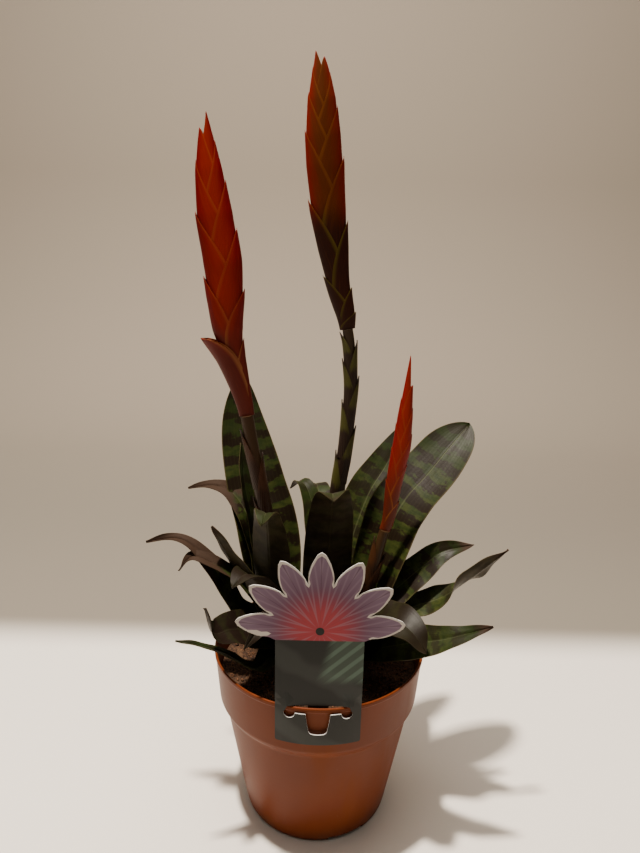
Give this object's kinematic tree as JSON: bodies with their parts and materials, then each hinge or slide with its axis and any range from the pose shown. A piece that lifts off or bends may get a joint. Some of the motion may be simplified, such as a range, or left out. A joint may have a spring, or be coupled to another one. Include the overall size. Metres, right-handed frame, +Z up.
{
  "type": "flaming sword bromeliad",
  "caption": "Flaming sword bromeliad with banded leaves and flat red and orange flower spikes, in a terracotta-coloured plastic nursery pot with a label card clipped on the rim.",
  "frame": {"origin": "centre of the pot's underside, on the plane it stands on", "axes": "+Z up along the pot's axis, -Y towards the side with the card, +X to the viewer's right"},
  "size_m": [0.1994, 0.1454, 0.4131],
  "materials": {
    "pot_plastic": "matte",
    "compost": "rough",
    "card": "satin",
    "leaf": "satin",
    "stalk": "satin",
    "red_bract": "satin",
    "orange_bract": "satin"
  },
  "bodies": {
    "root": {"pot": "pot_plastic", "soil": "compost", "label_card": "card", "rosette_left": "leaf", "rosette_middle": "leaf", "rosette_right": "leaf", "stalk_left": "stalk", "stalk_middle": "stalk", "stalk_right": "stalk", "sword_left": "red_bract", "sword_middle": "orange_bract", "sword_right": "red_bract"}
  },
  "joints": []
}
